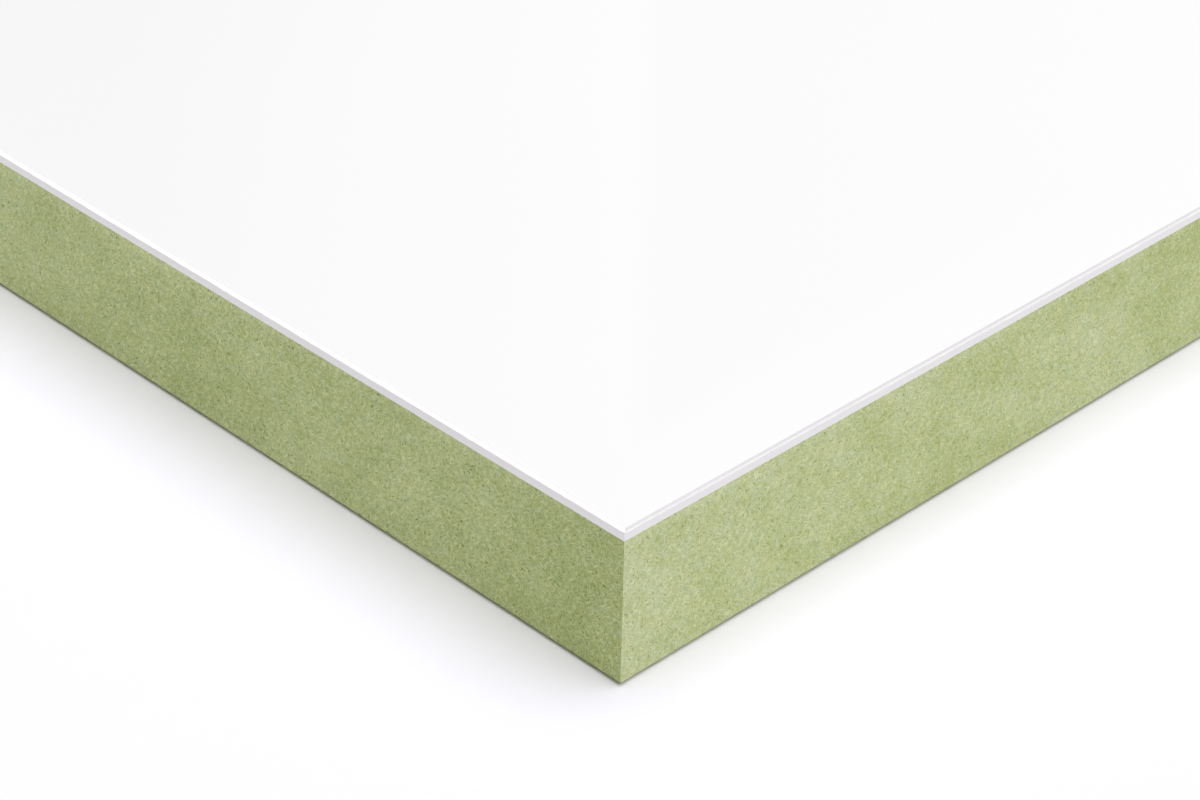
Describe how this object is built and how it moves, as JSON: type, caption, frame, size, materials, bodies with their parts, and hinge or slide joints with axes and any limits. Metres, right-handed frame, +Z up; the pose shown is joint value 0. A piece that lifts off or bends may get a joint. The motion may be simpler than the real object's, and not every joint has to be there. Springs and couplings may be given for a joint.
{
  "type": "high gloss mdf board",
  "caption": "Flat stock board: a green moisture-resistant MDF core faced with a thin white high gloss acrylic sheet, flush at its sawn edges, for cabinet doors and panels.",
  "frame": {"origin": "middle of the underside, on the face that the board rests on", "axes": "+X along the board's length, +Y across its width, +Z up out of the gloss face"},
  "size_m": [2.44, 1.22, 0.0192],
  "materials": {
    "green_mdf": "matte",
    "white_acrylic": "gloss"
  },
  "bodies": {
    "root": {"mdf_core": "green_mdf", "gloss_sheet": "white_acrylic"}
  },
  "joints": []
}
